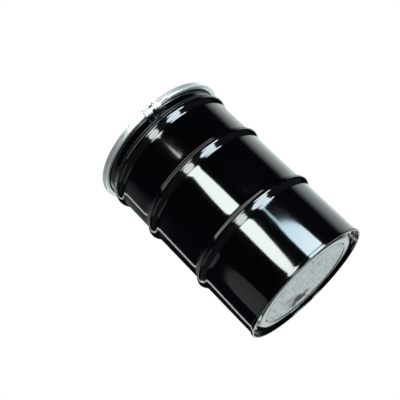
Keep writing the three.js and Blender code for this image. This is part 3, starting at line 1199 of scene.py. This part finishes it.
class DRUM_OT_stage(bpy.types.Operator):
    """Pale floor, soft boxes, white surroundings and the camera"""

    bl_idname = "drum.stage"
    bl_label = "Stage"

    def execute(self, context):
        scene = context.scene
        scene.view_settings.view_transform = "Standard"
        scene.view_settings.look = "None"
        self.camera(scene)
        self.floor(scene)
        self.surroundings(scene)
        self.lights()
        return {"FINISHED"}

    def camera(self, scene):
        camera = bpy.data.objects.new("camera", bpy.data.cameras.new("camera"))
        scene.collection.objects.link(camera)
        scene.camera = camera
        camera.data.lens = CAMERA["lens"]
        camera.data.sensor_width = CAMERA["sensor"]
        place, aim = Vector(CAMERA["place"]), Vector(CAMERA["aim"])
        ahead = (aim - place).normalized()
        level = ahead.cross(Vector((0, 0, 1))).normalized()
        above = level.cross(ahead)
        right = level * math.cos(CAMERA_ROLL) - above * math.sin(CAMERA_ROLL)
        up = level * math.sin(CAMERA_ROLL) + above * math.cos(CAMERA_ROLL)
        turn = Matrix((right, up, -ahead)).transposed()
        camera.matrix_world = Matrix.Translation(place) @ turn.to_4x4()

    def floor(self, scene):
        tree = fresh("pale_floor")
        place = tree.place()
        x, y, _ = tree.parts(place)
        speck = tree.noise(place, 6.0, 4.0, 0.6)
        shade = tree.mix(speck * 0.06, tuple(scene.drum_colours.floor), SCUFFED_FLOOR)
        paint = tree.node(
            "ShaderNodeBsdfPrincipled",
            inputs={"Base Color": shade, "Roughness": 0.6 + speck * 0.1},
        )
        clear = tree.node("ShaderNodeBsdfTransparent")
        behind = tree.node("ShaderNodeNewGeometry", output="Backfacing")
        fade = ((x * x + y * y) ** 0.5).step(*FLOOR_FADE)
        surface = tree.node("ShaderNodeMixShader", inputs={0: fade.most(behind), 1: paint, 2: clear})
        tree.node("ShaderNodeOutputMaterial", inputs={"Surface": surface})
        made = bmesh.new()
        bmesh.ops.create_circle(made, cap_ends=True, segments=96, radius=FLOOR_RADIUS)
        floor = loose_object("floor", made)
        floor.location.z = -FLOOR_DROP
        floor.data.materials.append(tree.owner)
        floor.visible_diffuse = False
        floor.visible_glossy = False
        floor.visible_transmission = False
        floor.visible_shadow = False

    def surroundings(self, scene):
        """White to the camera, even soft light to matt surfaces, and a studio to glossy ones."""
        world = bpy.data.worlds.new("studio")
        scene.world = world
        tree = Tree(world)
        direction = tree.node("ShaderNodeTexCoord", output="Generated")
        seen = tree.node("ShaderNodeLightPath", output="Is Camera Ray")
        matt = tree.node("ShaderNodeLightPath", output="Is Diffuse Ray")
        _, _, z = tree.parts(direction)

        def facing(azimuth):
            a = math.radians(azimuth)
            inputs = {0: direction, 1: (math.cos(a), math.sin(a), 0)}
            return tree.node("ShaderNodeVectorMath", {"operation": "DOT_PRODUCT"}, inputs, output=1)

        backdrop = facing(82).step(0.75, 0.94) * z.step(0.12, 0.2)
        glow = facing(165).step(0.5, 0.8) * z.step(0.33, 0.42)
        below = z.step(-0.12, -0.19)
        sweep = facing(121).step(0.72, 0.97)
        glossy = DARKNESS + backdrop * BACKDROP + glow * GLOW + below * (BELOW + sweep * SWEEP)
        strength = glossy + matt * (MATT_LIGHT - glossy)
        strength = strength + seen * (SEEN_LIGHT - strength)
        tint = tree.mix(seen, STUDIO_TINT, (1, 1, 1, 1))
        light = tree.node("ShaderNodeBackground", inputs={"Color": tint, "Strength": strength})
        tree.node("ShaderNodeOutputWorld", inputs={"Surface": light})

    def lights(self):
        for name, box in SOFT_BOXES.items():
            self.soft_box(name, **box)
        self.lamp("top", **TOP_LAMP)
        for name, (azimuth, radiance) in FILL_LAMPS.items():
            a = math.radians(azimuth)
            place = Vector((FILL_DISTANCE * math.cos(a), FILL_DISTANCE * math.sin(a), FILL_HEIGHT))
            self.lamp(f"fill_{name}", place, FILL_WIDTH, radiance)

    def soft_box(
        self, name, azimuth, across, tall, corner, radiance, colour, distance=BOX_DISTANCE, lean=0,
        slant=0, top=None,
    ):
        """A bright panel with rounded corners, standing at that azimuth and facing the axis."""
        half_width, half_height = (across[1] - across[0]) / 2, (tall[1] - tall[0]) / 2
        side, height = sum(across) / 2, sum(tall) / 2
        made = bmesh.new()
        rim = []
        for a in full_turn(64):
            c, s = math.cos(a), math.sin(a)
            u = math.copysign(abs(c) ** (2 / corner), c) * half_width
            v = math.copysign(abs(s) ** (2 / corner), s) * half_height
            rim.append(made.verts.new((distance, side + u + lean * v, height + v + slant * u)))
        made.faces.new(rim)
        panel = loose_object(name, moved(made, Matrix.Rotation(math.radians(azimuth), 4, "Z")))
        tree = fresh(f"{name}_glow")
        shade = (*colour, 1)
        if top:
            level = tree.parts(tree.place())[2].step(tall[1] - 0.3, tall[1])
            shade = tree.mix(level, shade, (*top, 1))
        glow = tree.node("ShaderNodeEmission", inputs={"Color": shade, "Strength": radiance})
        tree.node("ShaderNodeOutputMaterial", inputs={"Surface": glow})
        panel.data.materials.append(tree.owner)
        panel.visible_camera = False
        panel.visible_diffuse = False
        panel.visible_shadow = False

    def lamp(self, name, place, width, radiance):
        """A square lamp facing the drum; only the one above shows in glossy surfaces."""
        lamp = bpy.data.lights.new(name, "AREA")
        lamp.size = width
        lamp.energy = radiance * math.pi * width * width
        light = bpy.data.objects.new(name, lamp)
        bpy.context.scene.collection.objects.link(light)
        light.location = place
        light.rotation_euler = (place - Vector((0, 0, AIM_HEIGHT))).to_track_quat("Z", "Y").to_euler()
        light.visible_camera = False
        light.visible_glossy = name == "top"


class DRUM_PT_panel(bpy.types.Panel):
    """Lists the drum's pieces, sizes and colours"""

    bl_idname = "DRUM_PT_panel"
    bl_label = "Steel drum"
    bl_space_type = "VIEW_3D"
    bl_region_type = "UI"
    bl_category = "Drum"

    def draw(self, context):
        layout = self.layout
        for operator in OPERATORS:
            layout.operator(operator.bl_idname)
        for group in (context.scene.drum_sizes, context.scene.drum_colours):
            box = layout.box()
            for name in group.__annotations__:
                box.prop(group, name)


OPERATORS = (
    DRUM_OT_body,
    DRUM_OT_bottom,
    DRUM_OT_seam_filling,
    DRUM_OT_lid,
    DRUM_OT_lid_gasket,
    DRUM_OT_closing_ring,
    DRUM_OT_lugs,
    DRUM_OT_ring_bolt,
    DRUM_OT_lock_nut,
    DRUM_OT_bung_flanges,
    DRUM_OT_bung_gaskets,
    DRUM_OT_bung_plugs,
    DRUM_OT_stage,
)
CLASSES = (DrumSizes, DrumColours, *OPERATORS, DRUM_PT_panel)


def register():
    for item in CLASSES:
        bpy.utils.register_class(item)
    bpy.types.Scene.drum_sizes = bpy.props.PointerProperty(type=DrumSizes)
    bpy.types.Scene.drum_colours = bpy.props.PointerProperty(type=DrumColours)


def unregister():
    del bpy.types.Scene.drum_colours
    del bpy.types.Scene.drum_sizes
    for item in reversed(CLASSES):
        bpy.utils.unregister_class(item)


def main():
    """Builds every piece and the stage."""
    register()
    for operator in OPERATORS:
        group, name = operator.bl_idname.split(".")
        getattr(getattr(bpy.ops, group), name)()


if __name__ == "__main__":
    main()
